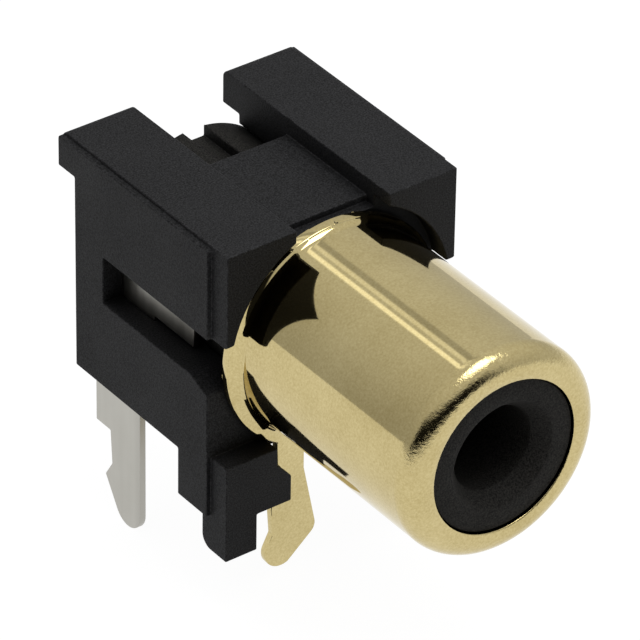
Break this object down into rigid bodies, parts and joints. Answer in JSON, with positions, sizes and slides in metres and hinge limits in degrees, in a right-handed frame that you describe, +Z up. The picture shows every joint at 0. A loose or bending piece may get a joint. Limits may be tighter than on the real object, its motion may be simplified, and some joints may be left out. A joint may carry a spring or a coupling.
{
  "type": "rca panel socket",
  "caption": "Right-angle phono socket for a circuit board: a gilt barrel with a rolled lip on a black moulded housing with feet, pegs, a ground tab and a side leg.",
  "frame": {"origin": "on the barrel's axis, in the plane of the housing's front face", "axes": "+Z up from the board, -Y forward along the barrel to its mouth, +X to the right as seen from the front"},
  "size_m": [0.0104, 0.0194, 0.015],
  "materials": {
    "housing_plastic": "fine matte texture",
    "gilt_sheet": "bright gold plate",
    "insulator_plastic": "matte",
    "tinned_sheet": "satin tin plate"
  },
  "bodies": {
    "root": {"housing": "housing_plastic", "shell": "gilt_sheet", "insulator": "insulator_plastic", "centre_contact": "tinned_sheet"}
  },
  "joints": []
}
